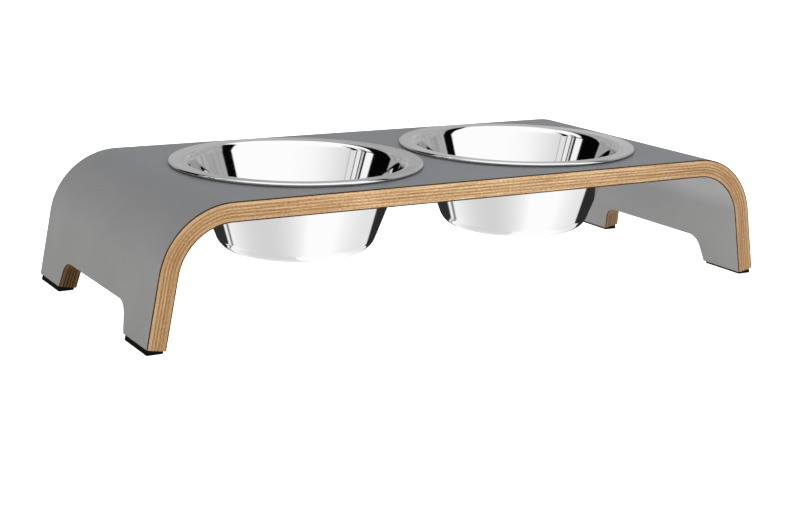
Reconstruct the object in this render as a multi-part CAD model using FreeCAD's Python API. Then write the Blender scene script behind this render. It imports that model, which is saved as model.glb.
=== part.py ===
import FreeCAD, Part
import math
import os
from dataclasses import dataclass

# A low feeding stand: a moulded plywood bridge with a laminate on both faces, two bowls hung in it by
# their rims, and a rubber pad under each foot. Millimetres and degrees. X runs along the pair of bowls,
# Y from front to back and Z up. The origin is on the floor under the middle of the stand.

# Bridge: its top is laid out round the bowls' rims
RIM_GAP = 10.0
RIM_SIDE_MARGIN = 16.5
RIM_BEND_MARGIN = 6.5
STAND_HEIGHT = 112.0
LEG_SPLAY = 10.5
OUTER_BEND_RADIUS = 62.0

# Layers of the bridge, from the outside in: laminate, moulded plywood, laminate
LAMINATE_THICKNESS = 1.0
PLYWOOD_THICKNESS = 14.0
LAMINATE_EDGE_BREAK = 0.3

# Feet: each leg is cut square to its own slope and notched in the middle
FOOT_WIDTH = 49.0
NOTCH_HEIGHT = 23.5
NOTCH_SIDE_SLOPE = 18.0
NOTCH_CORNER_RADIUS = 14.5

# Foot pads: wedges that are level underneath
PAD_INSET = 1.2
PAD_CORNER_RADIUS = 1.5
FOOT_EDGE_LIFT = 2.0

# Bowls: pressed from sheet, with a sloping flange and a rolled lip
BOWL_DIAMETER = 217.0
BOWL_BOTTOM_HEIGHT = 38.0
BOWL_SHEET = 0.8
BOWL_WALL_TAPER = 20.5
BOWL_CORNER_RADIUS = 17.0
BOWL_MOUTH_RADIUS = 8.0
FLANGE_LENGTH = 8.95
FLANGE_SLOPE = 2.0
LIP_RADIUS = 1.2
LIP_CURL = 235.0

# Fits
LIP_SEAT_CLEARANCE = 0.2
BOWL_HOLE_CLEARANCE = 1.5

# Working values: how far a cut passes what it cuts, and how closely found faces and edges must agree
CUT_REACH = 15.0
FACE_MATCH = 0.05
SAME_WAY = 1e-6
UP = FreeCAD.Vector(0, 0, 1)
BACK = FreeCAD.Vector(0, 1, 0)
ALONG = FreeCAD.Vector(1, 0, 0)

# Values worked out from the sizes above
BOARD_THICKNESS = 2 * LAMINATE_THICKNESS + PLYWOOD_THICKNESS
SPLAY_SIN = math.sin(math.radians(LEG_SPLAY))
SPLAY_COS = math.cos(math.radians(LEG_SPLAY))
FOOT_OUTER_HEIGHT = FOOT_EDGE_LIFT + BOARD_THICKNESS * SPLAY_SIN
LEG_LENGTH = (STAND_HEIGHT - OUTER_BEND_RADIUS * (1 - SPLAY_SIN) - FOOT_OUTER_HEIGHT) / SPLAY_COS
BOWL_SPACING = BOWL_DIAMETER + RIM_GAP
TOP_HALF_LENGTH = (BOWL_SPACING + BOWL_DIAMETER) / 2 + RIM_BEND_MARGIN
STAND_LENGTH = 2 * (TOP_HALF_LENGTH + OUTER_BEND_RADIUS * SPLAY_COS + LEG_LENGTH * SPLAY_SIN)
STAND_DEPTH = BOWL_DIAMETER + 2 * RIM_SIDE_MARGIN
BOWL_LIP_RADIUS_OUTSIDE = LIP_RADIUS + BOWL_SHEET / 2


@dataclass(frozen=True)
class Run:
    """A straight stretch of a sheet's path."""

    length: float


@dataclass(frozen=True)
class Bend:
    """A bend of a sheet's path: its radius and how far it turns, positive to the left."""

    radius: float
    turn: float


def direction(heading):
    """Unit vector in the XZ plane at an angle from +X towards +Z."""
    angle = math.radians(heading)
    return FreeCAD.Vector(math.cos(angle), 0, math.sin(angle))


def path_end(start, heading, steps):
    """Point and heading at the end of a path of runs and bends."""
    point = start
    for step in steps:
        if isinstance(step, Run):
            point = point + direction(heading) * step.length
        else:
            side = math.copysign(90, step.turn)
            centre = point + direction(heading + side) * step.radius
            heading += step.turn
            point = centre - direction(heading + side) * step.radius
    return point, heading


def path_edges(start, heading, steps, offset):
    """Edges of a path carried sideways by offset, positive to the left of the way it runs."""
    edges = []
    point = start
    for step in steps:
        end, end_heading = path_end(point, heading, [step])
        first = point + direction(heading + 90) * offset
        last = end + direction(end_heading + 90) * offset
        if isinstance(step, Run):
            edges.append(Part.LineSegment(first, last).toShape())
        else:
            half = Bend(step.radius, step.turn / 2)
            middle, middle_heading = path_end(point, heading, [half])
            middle = middle + direction(middle_heading + 90) * offset
            edges.append(Part.Arc(first, middle, last).toShape())
        point, heading = end, end_heading
    return edges


def sheet_section(start, heading, steps, left, right):
    """Face between two offsets of one path: the section of a bent sheet."""
    end, end_heading = path_end(start, heading, steps)
    first_cap = [start + direction(heading + 90) * side for side in (right, left)]
    last_cap = [end + direction(end_heading + 90) * side for side in (left, right)]
    outline = [Part.LineSegment(*first_cap).toShape()]
    outline += path_edges(start, heading, steps, left)
    outline.append(Part.LineSegment(*last_cap).toShape())
    outline += reversed(path_edges(start, heading, steps, right))
    return Part.Face(Part.Wire(outline))


def leg_placement():
    """Placement from a flat drawing (X across, Z up the leg, -Y outwards) onto the right leg's outer face."""
    up_the_leg = FreeCAD.Vector(-SPLAY_SIN, 0, SPLAY_COS)
    inwards = FreeCAD.Vector(-SPLAY_COS, 0, -SPLAY_SIN)
    foot_edge = FreeCAD.Vector(STAND_LENGTH / 2, 0, FOOT_OUTER_HEIGHT)
    return FreeCAD.Placement(foot_edge, FreeCAD.Rotation(BACK, inwards, up_the_leg, "XZY"))


def both_ends(shape):
    """A shape at the right-hand end and its mirror image at the left."""
    return [shape, shape.mirror(FreeCAD.Vector(), ALONG)]


def notch_cutter():
    """Block that cuts the notch between the right leg's two feet, square through the board."""
    side_angle = 90 - NOTCH_SIDE_SLOPE
    slope = math.tan(math.radians(NOTCH_SIDE_SLOPE))
    half_width = STAND_DEPTH / 2 - FOOT_WIDTH
    corner_reach = NOTCH_CORNER_RADIUS * math.tan(math.radians(side_angle / 2))
    side_run = (NOTCH_HEIGHT + CUT_REACH) / math.cos(math.radians(NOTCH_SIDE_SLOPE)) - corner_reach
    top_run = 2 * (half_width - NOTCH_HEIGHT * slope - corner_reach)
    corner = Bend(NOTCH_CORNER_RADIUS, -side_angle)
    outline = [Run(side_run), corner, Run(top_run), corner, Run(side_run)]
    start = FreeCAD.Vector(-half_width - CUT_REACH * slope, -CUT_REACH, -CUT_REACH)
    end, _ = path_end(start, side_angle, outline)
    edges = path_edges(start, side_angle, outline, 0) + [Part.LineSegment(end, start).toShape()]
    block = Part.Face(Part.Wire(edges)).extrude(BACK * (BOARD_THICKNESS + 2 * CUT_REACH))
    block.Placement = leg_placement()
    return block


def bowl_hole_cutter(centre_x):
    """Cylinder that cuts the hole which one bowl hangs in."""
    base = FreeCAD.Vector(centre_x, 0, STAND_HEIGHT - BOARD_THICKNESS - CUT_REACH)
    return Part.makeCylinder(bowl_hole_radius(), BOARD_THICKNESS + 2 * CUT_REACH, base)


def board_layer(outer_depth, inner_depth, cutters):
    """One layer of the bridge, between two depths below its outer face, with the feet and holes cut."""
    foot_edge = FreeCAD.Vector(-STAND_LENGTH / 2, -STAND_DEPTH / 2, FOOT_OUTER_HEIGHT)
    bend = Bend(OUTER_BEND_RADIUS, LEG_SPLAY - 90)
    path = [Run(LEG_LENGTH), bend, Run(2 * TOP_HALF_LENGTH), bend, Run(LEG_LENGTH)]
    section = sheet_section(foot_edge, 90 - LEG_SPLAY, path, -outer_depth, -inner_depth)
    layer = section.extrude(BACK * STAND_DEPTH)
    return layer.cut(cutters).removeSplitter()


def on_face_at_depth(face, depth):
    """Whether a face of a layer lies at one depth below the bridge's outer face."""
    point = face.CenterOfMass
    if isinstance(face.Surface, Part.Cylinder) and face.Surface.Axis.isParallel(BACK, SAME_WAY):
        return abs(face.Surface.Radius - (OUTER_BEND_RADIUS - depth)) < FACE_MATCH
    if isinstance(face.Surface, Part.Plane) and abs(face.normalAt(0, 0).y) < SAME_WAY:
        beyond_top = FreeCAD.Vector(abs(point.x) - TOP_HALF_LENGTH, 0, point.z - STAND_HEIGHT + OUTER_BEND_RADIUS)
        on_leg = beyond_top.x * SPLAY_COS + beyond_top.z * SPLAY_SIN
        reach = on_leg if beyond_top.x > 0 else beyond_top.z
        return abs(reach - (OUTER_BEND_RADIUS - depth)) < FACE_MATCH
    return False


def eased(laminate, face_depth):
    """A laminate with a fine chamfer round every edge of the face that shows."""
    shown = [edge for face in laminate.Faces if on_face_at_depth(face, face_depth) for edge in face.Edges]
    rim = [edge for edge in shown if sum(edge.isSame(other) for other in shown) == 1]
    return laminate.makeChamfer(LAMINATE_EDGE_BREAK, rim)


def foot_pad(centre_y):
    """Wedge pad under one foot of the right leg: square to the leg on top and level underneath."""
    half_width = FOOT_WIDTH / 2 - PAD_INSET
    outer, inner = PAD_INSET, BOARD_THICKNESS - PAD_INSET
    height = 2 * FOOT_OUTER_HEIGHT
    corner_low = FreeCAD.Vector(centre_y - half_width, outer, -height)
    block = Part.makeBox(2 * half_width, inner - outer, height, corner_low)
    upright = [edge for edge in block.Edges if edge.tangentAt(edge.FirstParameter).isParallel(UP, SAME_WAY)]
    block = block.makeFillet(PAD_CORNER_RADIUS, upright)
    block.Placement = leg_placement()
    floor_block = Part.makeBox(STAND_LENGTH, 2 * STAND_DEPTH, STAND_HEIGHT)
    floor_block.translate(FreeCAD.Vector(0, -STAND_DEPTH, -STAND_HEIGHT))
    return block.cut(floor_block)


def bowl_path():
    """Path of a bowl's sheet from the middle of its bottom to the end of its rolled lip, about its own axis."""
    wall_angle = 90 - BOWL_WALL_TAPER
    corner = Bend(BOWL_CORNER_RADIUS + BOWL_SHEET / 2, wall_angle)
    mouth = Bend(BOWL_MOUTH_RADIUS, FLANGE_SLOPE - wall_angle)
    flange = Run(FLANGE_LENGTH)
    lip = Bend(LIP_RADIUS, -FLANGE_SLOPE - LIP_CURL)
    start = FreeCAD.Vector(0, 0, BOWL_BOTTOM_HEIGHT + BOWL_SHEET / 2)
    # The lip's start, seen from its centre, is square to the flange.
    lip_centre = FreeCAD.Vector(BOWL_DIAMETER / 2 - BOWL_LIP_RADIUS_OUTSIDE, 0,
                                STAND_HEIGHT + LIP_SEAT_CLEARANCE + BOWL_LIP_RADIUS_OUTSIDE)
    lip_start = lip_centre + direction(FLANGE_SLOPE + 90) * LIP_RADIUS
    fixed, _ = path_end(start, 0, [corner, mouth, flange])
    wall_run = (lip_start.z - fixed.z) / math.sin(math.radians(wall_angle))
    bottom_run = lip_start.x - fixed.x - wall_run * math.cos(math.radians(wall_angle))
    return start, [Run(bottom_run), corner, Run(wall_run), mouth, flange, lip]


def bowl_section():
    """Section of a bowl's sheet, from its axis to the end of its lip."""
    start, path = bowl_path()
    return sheet_section(start, 0, path, BOWL_SHEET / 2, -BOWL_SHEET / 2)


def bowl_hole_radius():
    """Radius of the hole: the bowl's widest place below the top face, and the clearance."""
    below_top = Part.makePlane(BOWL_DIAMETER, STAND_HEIGHT, FreeCAD.Vector(), -BACK, ALONG)
    sunk = bowl_section().common(below_top)
    return max(corner.X for corner in sunk.Vertexes) + BOWL_HOLE_CLEARANCE


def bowl(centre_x):
    """One bowl: its sheet's section turned about the bowl's axis."""
    turned = bowl_section().revolve(FreeCAD.Vector(), UP, 360)
    turned.translate(ALONG * centre_x)
    return turned


def build():
    """Every piece of the stand by name."""
    bowl_centres = {"left_bowl": -BOWL_SPACING / 2, "right_bowl": BOWL_SPACING / 2}
    cutters = both_ends(notch_cutter()) + [bowl_hole_cutter(x) for x in bowl_centres.values()]

    pieces = {}
    plywood_back = LAMINATE_THICKNESS + PLYWOOD_THICKNESS
    pieces["outer_laminate"] = eased(board_layer(0, LAMINATE_THICKNESS, cutters), 0)
    pieces["plywood_core"] = board_layer(LAMINATE_THICKNESS, plywood_back, cutters)
    pieces["inner_laminate"] = eased(board_layer(plywood_back, BOARD_THICKNESS, cutters), BOARD_THICKNESS)

    foot_centre = (STAND_DEPTH - FOOT_WIDTH) / 2
    for row, centre_y in (("front", -foot_centre), ("rear", foot_centre)):
        right_pad, left_pad = both_ends(foot_pad(centre_y))
        pieces[f"{row}_right_foot_pad"] = right_pad
        pieces[f"{row}_left_foot_pad"] = left_pad

    for name, centre_x in bowl_centres.items():
        pieces[name] = bowl(centre_x)
    return pieces


os.makedirs("parts", exist_ok=True)
for node, shape in build().items():
    shape.exportStep(f"parts/{node}.step")
    print(node, "valid" if shape.isValid() else "NOT VALID", "solids", len(shape.Solids), round(shape.Volume, 1))
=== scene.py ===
import logging
import math
from collections.abc import Sequence
from dataclasses import dataclass
from enum import Enum
from typing import Any, ClassVar, Optional

import bpy
import numpy as np
from mathutils import Matrix, Vector


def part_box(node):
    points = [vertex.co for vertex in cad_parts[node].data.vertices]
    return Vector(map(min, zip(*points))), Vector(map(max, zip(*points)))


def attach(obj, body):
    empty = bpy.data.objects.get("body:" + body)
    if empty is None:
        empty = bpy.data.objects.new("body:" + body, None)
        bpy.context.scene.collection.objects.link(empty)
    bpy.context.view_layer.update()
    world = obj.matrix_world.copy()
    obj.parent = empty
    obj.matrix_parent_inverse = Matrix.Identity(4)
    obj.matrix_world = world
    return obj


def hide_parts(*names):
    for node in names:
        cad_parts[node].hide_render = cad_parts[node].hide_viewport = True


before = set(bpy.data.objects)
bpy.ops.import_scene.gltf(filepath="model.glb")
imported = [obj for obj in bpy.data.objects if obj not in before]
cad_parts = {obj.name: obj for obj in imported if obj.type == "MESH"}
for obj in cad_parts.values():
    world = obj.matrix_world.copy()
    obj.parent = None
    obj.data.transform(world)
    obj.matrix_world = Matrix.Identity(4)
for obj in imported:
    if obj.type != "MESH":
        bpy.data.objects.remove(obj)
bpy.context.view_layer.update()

MM = 0.001
SAME_POINT = 0.001 * MM
STAND_BODY = "stand"
# Settings of nodes, and the numbers of the colour mixer's sockets, which have no names of their own.
SMOOTH = {"interpolation_type": "SMOOTHSTEP"}
COLOURS = {"data_type": "RGBA"}
COLOURS_MULTIPLIED = {"data_type": "RGBA", "blend_type": "MULTIPLY"}
MIX_SHARE, MIX_UNDER, MIX_OVER, MIX_RESULT = 0, 6, 7, 2
log = logging.getLogger("bowl_stand")


def linear(colour: str) -> tuple[float, float, float, float]:
    """Turns an sRGB hex colour into the linear colour that shaders take.

    Args:
        colour: Six hex digits after a hash sign.

    Returns:
        Red, green, blue and an alpha of one.
    """
    shares = [int(colour[i:i + 2], 16) / 255 for i in (1, 3, 5)]
    light = [s / 12.92 if s <= 0.04045 else ((s + 0.055) / 1.055) ** 2.4 for s in shares]
    return (light[0], light[1], light[2], 1.0)


def add_node(
    tree: bpy.types.NodeTree,
    kind: str,
    settings: Optional[dict[str, Any]] = None,
    values: Optional[dict[Any, Any]] = None,
    links: Optional[dict[Any, bpy.types.NodeSocket]] = None,
    stops: Sequence[tuple[float, str]] = (),
) -> bpy.types.Node:
    """Adds one node to a tree with its settings and links.

    Args:
        tree: Node tree of a material or of the world.
        kind: The node's type, without the ShaderNode prefix.
        settings: Attributes of the node, such as its operation.
        values: Input values, by the input's name or number.
        links: Outputs of other nodes to feed in, by this node's input name or number.
        stops: Places and hex colours of a colour ramp.

    Returns:
        The new node.
    """
    node = tree.nodes.new(f"ShaderNode{kind}")
    for name, setting in (settings or {}).items():
        setattr(node, name, setting)
    for name, value in (values or {}).items():
        node.inputs[name].default_value = value
    for name, socket in (links or {}).items():
        tree.links.new(socket, node.inputs[name])
    if stops:
        elements = node.color_ramp.elements
        while len(elements) < len(stops):
            elements.new(1.0)
        for element, (place, colour) in zip(elements, stops):
            element.position = place
            element.color = linear(colour)
    return node


def new_material(name: str) -> tuple[bpy.types.Material, bpy.types.NodeTree, bpy.types.Node]:
    """Makes an empty node material that ends in one Principled shader.

    Args:
        name: The material's real name and finish.

    Returns:
        The material, its node tree and its Principled shader.
    """
    material = bpy.data.materials.new(name)
    material.use_nodes = True
    tree = material.node_tree
    tree.nodes.clear()
    shader = add_node(tree, "BsdfPrincipled")
    add_node(tree, "OutputMaterial", links={"Surface": shader.outputs["BSDF"]})
    return material, tree, shader


def per_mm(size_mm: float) -> float:
    """Texture scale, in waves per metre, of a pattern whose marks are size_mm apart."""
    return 1.0 / (size_mm * MM)


class Grain(Enum):
    """Which way a veneer's grain runs on the board."""

    ALONG = "along"
    ACROSS = "across"


@dataclass(frozen=True)
class LaminateFace:
    """High-pressure laminate, pressed against a fine matt plate."""

    colour_deep: str = "#828384"
    colour_pale: str = "#868788"
    cloud_mm: float = 60.0
    plate_grain_mm: float = 0.9
    roughness: float = 0.42
    roughness_swing: float = 0.05
    bump_mm: float = 0.012

    def build(self) -> bpy.types.Material:
        """Makes the material on the unrolled board's coordinates.

        Returns:
            The material of a laminate's faces.
        """
        # The eye gets an even, faintly clouded grey with a soft sheen at low angles and no clear reflection.
        # The plate's grain is drawn coarser than life so that it shows.
        material, tree, shader = new_material("grey_matt_pressed_laminate")
        place = add_node(tree, "Attribute", {"attribute_name": "board"})
        cloud = add_node(tree, "TexNoise", values={"Scale": per_mm(self.cloud_mm), "Detail": 3.0},
                         links={"Vector": place.outputs["Vector"]})
        tint = add_node(tree, "ValToRGB", stops=((0.35, self.colour_deep), (0.65, self.colour_pale)),
                        links={"Fac": cloud.outputs["Fac"]})
        grain = add_node(tree, "TexNoise", values={"Scale": per_mm(self.plate_grain_mm), "Detail": 2.0},
                         links={"Vector": place.outputs["Vector"]})
        gloss = add_node(tree, "MapRange", links={"Value": grain.outputs["Fac"]}, values={
            "To Min": self.roughness - self.roughness_swing, "To Max": self.roughness + self.roughness_swing})
        relief = add_node(tree, "Bump", values={"Strength": 0.5, "Distance": self.bump_mm * MM},
                          links={"Height": grain.outputs["Fac"]})
        tree.links.new(tint.outputs["Color"], shader.inputs["Base Color"])
        tree.links.new(gloss.outputs["Result"], shader.inputs["Roughness"])
        tree.links.new(relief.outputs["Normal"], shader.inputs["Normal"])
        return material


@dataclass(frozen=True)
class LaminateEdge:
    """Phenolic paper core of the laminate, sawn and sanded."""

    colour_deep: str = "#35240f"
    colour_pale: str = "#553a1a"
    streak_mm: float = 3.0
    roughness: float = 0.6
    gloss: float = 0.05

    def build(self) -> bpy.types.Material:
        """Makes the material on the unrolled board's coordinates.

        Returns:
            The material of a laminate's edges.
        """
        # The eye gets a thin dark brown line, slightly streaked along the board, that hardly shines.
        material, tree, shader = new_material("brown_phenolic_core_sanded")
        shader.inputs["Roughness"].default_value = self.roughness
        shader.inputs["Specular IOR Level"].default_value = self.gloss
        place = add_node(tree, "Attribute", {"attribute_name": "board"})
        streak = add_node(tree, "TexNoise", values={"Scale": per_mm(self.streak_mm), "Detail": 3.0},
                          links={"Vector": place.outputs["Vector"]})
        tint = add_node(tree, "ValToRGB", stops=((0.3, self.colour_deep), (0.75, self.colour_pale)),
                        links={"Fac": streak.outputs["Fac"]})
        tree.links.new(tint.outputs["Color"], shader.inputs["Base Color"])
        return material


@dataclass(frozen=True)
class VeneerFinish:
    """Beech veneer, rotary cut, glued, sanded flush and oiled; a mark's sizes are its length and width."""

    grain: Grain
    colour_deep: str
    colour_pale: str
    colour_glue: str = "#6f4d2a"
    # Colour mixed in from a way before each bend on down the legs.
    colour_leg_darkening: str = "#764c0d"
    # Colour multiplied into a notch's walls as painted shade.
    colour_notch_shade: str = "#544d3f"
    streak_mm: tuple[float, float] = (30.0, 0.6)
    drift_mm: tuple[float, float] = (45.0, 1.3)
    fleck_mm: tuple[float, float] = (2.6, 1.1)
    streak_contrast: float = 1.6
    drift_contrast: float = 1.7
    fleck_contrast: float = 1.5
    glue_share: float = 0.16
    glue_strength: float = 0.25
    leg_darkening_strength: float = 0.42
    notch_shade_strength: float = 1.0
    roughness: float = 0.5
    gloss: float = 0.38
    routed_gloss: float = 0.04
    bump_mm: float = 0.03

    def build(self) -> bpy.types.Material:
        """Makes the material on the unrolled board's coordinates and the layer's own marks.

        Returns:
            The material of the veneers whose grain runs one way.
        """
        # The eye gets a warm, silky wood: fine streaks along the grain, slow drifts of tone, short flecks, a
        # darker glue line at each face, wood browner and darker from before each bend down the legs, and dull
        # notch cuts with painted shade on them. The flecks are drawn coarser than life so that they show.
        material, tree, shader = new_material(f"beech_veneer_{self.grain.value}_oiled")
        place = add_node(tree, "Attribute", {"attribute_name": "board"})
        tone = add_node(tree, "Attribute", {"attribute_name": "tone"})
        shade = add_node(tree, "Math", {"operation": "ADD"}, values={1: 0.5}, links={0: tone.outputs["Fac"]})
        long, fine = (per_mm(size) for size in self.streak_mm)
        slow, thin = (per_mm(size) for size in self.drift_mm)
        dash, slim = (per_mm(size) for size in self.fleck_mm)
        grained = (long, fine, fine) if self.grain is Grain.ALONG else (fine, long, fine)
        for stretch, detail, contrast in ((grained, 4.0, self.streak_contrast),
                                          ((slow, slow, thin), 2.0, self.drift_contrast),
                                          ((dash, dash, slim), 1.0, self.fleck_contrast)):
            drawn = add_node(tree, "Mapping", values={"Scale": stretch},
                             links={"Vector": place.outputs["Vector"]})
            marks = add_node(tree, "TexNoise", values={"Scale": 1.0, "Detail": detail, "Roughness": 0.6},
                             links={"Vector": drawn.outputs["Vector"]})
            swing = add_node(tree, "MapRange", values={"To Min": -contrast / 2, "To Max": contrast / 2},
                             links={"Value": marks.outputs["Fac"]})
            shade = add_node(tree, "Math", {"operation": "ADD"},
                             links={0: shade.outputs["Value"], 1: swing.outputs["Result"]})
        tint = add_node(tree, "ValToRGB", stops=((0.0, self.colour_deep), (1.0, self.colour_pale)),
                        links={"Fac": shade.outputs["Value"]})
        ply = add_node(tree, "Attribute", {"attribute_name": "ply"})
        middle = add_node(tree, "Math", {"operation": "PINGPONG"}, values={1: 0.5},
                          links={0: ply.outputs["Fac"]})
        glue = add_node(tree, "MapRange", SMOOTH, links={"Value": middle.outputs["Value"]}, values={
            "From Max": self.glue_share, "To Min": self.glue_strength, "To Max": 0.0})
        glued = add_node(tree, "Mix", COLOURS, values={MIX_OVER: linear(self.colour_glue)},
                         links={MIX_SHARE: glue.outputs["Result"], MIX_UNDER: tint.outputs["Color"]})
        leg_darkening = add_node(tree, "Attribute", {"attribute_name": "leg_darkening"})
        notch_dullness_and_shade = add_node(tree, "Attribute", {"attribute_name": "notch_dullness_and_shade"})
        colour = glued.outputs[MIX_RESULT]
        # Both marks darken the wood: browner and darker down the legs, and painted shade on the notch walls,
        # whose attribute also dulls their sheen.
        for mark, settings, strength, deep in (
                (leg_darkening, COLOURS, self.leg_darkening_strength, self.colour_leg_darkening),
                (notch_dullness_and_shade, COLOURS_MULTIPLIED, self.notch_shade_strength, self.colour_notch_shade)):
            amount = add_node(tree, "Math", {"operation": "MULTIPLY"}, values={1: strength},
                              links={0: mark.outputs["Fac"]})
            darkened = add_node(tree, "Mix", settings, values={MIX_OVER: linear(deep)},
                               links={MIX_SHARE: amount.outputs["Value"], MIX_UNDER: colour})
            colour = darkened.outputs[MIX_RESULT]
        sheen = add_node(tree, "MapRange", values={"To Min": self.gloss, "To Max": self.routed_gloss},
                         links={"Value": notch_dullness_and_shade.outputs["Fac"]})
        relief = add_node(tree, "Bump", values={"Strength": 0.4, "Distance": self.bump_mm * MM},
                          links={"Height": shade.outputs["Value"]})
        shader.inputs["Roughness"].default_value = self.roughness
        tree.links.new(sheen.outputs["Result"], shader.inputs["Specular IOR Level"])
        tree.links.new(colour, shader.inputs["Base Color"])
        tree.links.new(relief.outputs["Normal"], shader.inputs["Normal"])
        return material


@dataclass(frozen=True)
class PolishedSteel:
    """Stainless steel, deep drawn and mirror polished."""

    colour: str = "#d8d8d8"
    roughness_low: float = 0.03
    roughness_high: float = 0.065
    wave_mm: float = 28.0
    wave_height_mm: float = 0.02
    buff_mm: float = 1.2

    def build(self) -> bpy.types.Material:
        """Makes the material on Object coordinates.

        Returns:
            The bowls' material.
        """
        # The eye gets clear reflections, very slightly wavy from the drawing, under a breath of buffing haze,
        # which is drawn coarser than life so that it shows.
        material, tree, shader = new_material("stainless_steel_mirror_polished")
        shader.inputs["Metallic"].default_value = 1.0
        shader.inputs["Base Color"].default_value = linear(self.colour)
        place = add_node(tree, "TexCoord")
        wave = add_node(tree, "TexNoise", values={"Scale": per_mm(self.wave_mm), "Detail": 1.0},
                        links={"Vector": place.outputs["Object"]})
        buff = add_node(tree, "TexNoise", values={"Scale": per_mm(self.buff_mm), "Detail": 4.0},
                        links={"Vector": place.outputs["Object"]})
        haze = add_node(tree, "MapRange", links={"Value": buff.outputs["Fac"]},
                        values={"To Min": self.roughness_low, "To Max": self.roughness_high})
        relief = add_node(tree, "Bump", values={"Strength": 0.5, "Distance": self.wave_height_mm * MM},
                          links={"Height": wave.outputs["Fac"]})
        tree.links.new(haze.outputs["Result"], shader.inputs["Roughness"])
        tree.links.new(relief.outputs["Normal"], shader.inputs["Normal"])
        return material


@dataclass(frozen=True)
class MouldedRubber:
    """Black rubber sheet, moulded matt."""

    colour_deep: str = "#040404"
    colour_pale: str = "#0b0b0a"
    grain_mm: float = 0.6
    roughness: float = 0.75
    gloss: float = 0.06
    bump_mm: float = 0.05

    def build(self) -> bpy.types.Material:
        """Makes the material on Object coordinates.

        Returns:
            The foot pads' material.
        """
        # The eye gets a dull black with a fine even grain and no clear reflection.
        material, tree, shader = new_material("black_rubber_moulded")
        shader.inputs["Roughness"].default_value = self.roughness
        shader.inputs["Specular IOR Level"].default_value = self.gloss
        place = add_node(tree, "TexCoord")
        grain = add_node(tree, "TexNoise", values={"Scale": per_mm(self.grain_mm), "Detail": 2.0},
                         links={"Vector": place.outputs["Object"]})
        tint = add_node(tree, "ValToRGB", stops=((0.3, self.colour_deep), (0.7, self.colour_pale)),
                        links={"Fac": grain.outputs["Fac"]})
        relief = add_node(tree, "Bump", values={"Strength": 0.6, "Distance": self.bump_mm * MM},
                          links={"Height": grain.outputs["Fac"]})
        tree.links.new(tint.outputs["Color"], shader.inputs["Base Color"])
        tree.links.new(relief.outputs["Normal"], shader.inputs["Normal"])
        return material


@dataclass(frozen=True)
class OpalFloor:
    """Opal acrylic sheet, sanded and lit from below."""

    colour: str = "#f6f6f5"
    glow_colour: str = "#fffdf9"
    glow: float = 1.2
    roughness: float = 0.9

    def build(self) -> bpy.types.Material:
        """Makes the material.

        Returns:
            The floor's material.
        """
        # The eye gets an even pale glow that thins out the shadows under the stand.
        material, _, shader = new_material("opal_acrylic_lit_from_below")
        shader.inputs["Base Color"].default_value = linear(self.colour)
        shader.inputs["Roughness"].default_value = self.roughness
        shader.inputs["Emission Color"].default_value = linear(self.glow_colour)
        shader.inputs["Emission Strength"].default_value = self.glow
        return material


def add_piece(
    name: str,
    points: np.ndarray,
    faces: list[Any],
    materials: list[bpy.types.Material],
    face_materials: Optional[np.ndarray] = None,
) -> bpy.types.Object:
    """Puts a worked-out surface into a new object at the origin.

    Args:
        name: The piece's name.
        points: Corner points, in metres, in the shared frame.
        faces: Corner numbers of each face, anticlockwise from outside.
        materials: The piece's materials.
        face_materials: The material number of each face; the first material where left out.

    Returns:
        The new object, smooth shaded.
    """
    mesh = bpy.data.meshes.new(name)
    mesh.from_pydata(points.tolist(), [], faces)
    for material in materials:
        mesh.materials.append(material)
    if face_materials is not None:
        mesh.polygons.foreach_set("material_index", face_materials.astype(np.int32))
    mesh.polygons.foreach_set("use_smooth", np.ones(len(mesh.polygons), dtype=bool))
    mesh.update()
    piece = bpy.data.objects.new(name, mesh)
    bpy.context.scene.collection.objects.link(piece)
    return piece


def set_attribute(piece: bpy.types.Object, name: str, values: np.ndarray) -> None:
    """Stores one number or one vector per point on a piece, for its material to read.

    Args:
        piece: The mesh object.
        name: The attribute's name.
        values: One row per point, with one or three columns.
    """
    kind, key = ("FLOAT_VECTOR", "vector") if values.ndim == 2 else ("FLOAT", "value")
    attribute = piece.data.attributes.new(name, kind, "POINT")
    attribute.data.foreach_set(key, values.astype(np.float32).ravel())


def grid_quads(rows: int, columns: int) -> np.ndarray:
    """Quads of a grid of points, anticlockwise where rows lead to the right and columns lead up.

    Args:
        rows: Points along the first parameter.
        columns: Points along the second parameter.

    Returns:
        Four corner numbers per quad.
    """
    number = np.arange(rows * columns).reshape(rows, columns)
    corners = (number[:-1, :-1], number[1:, :-1], number[1:, 1:], number[:-1, 1:])
    return np.stack(corners, axis=-1).reshape(-1, 4)


def ruled(first: np.ndarray, last: np.ndarray, steps: int) -> np.ndarray:
    """Ruled patch: each point moves in a straight line from its place on one curve to its place on the other.

    Args:
        first: Points of the first curve.
        last: Points of the last curve, as many as the first.
        steps: How many steps lead from one to the other.

    Returns:
        Points by step and by place along the curves.
    """
    share = np.linspace(0.0, 1.0, steps + 1)[:, None, None]
    return first[None] * (1 - share) + last[None] * share


class SubAssembly:
    """A part of the stand that builds its own pieces and dresses them."""

    @staticmethod
    def dress(piece: bpy.types.Object, body: str, slot: str, *nodes: str) -> bpy.types.Object:
        """Makes a piece ride on its body and puts it in place of the frame's own nodes.

        Args:
            piece: The finished piece.
            body: The body that it moves with.
            slot: The record's material slot; not used.
            nodes: The frame's nodes that it stands for.

        Returns:
            The same piece.
        """
        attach(piece, body)
        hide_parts(*nodes)
        return piece


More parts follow.
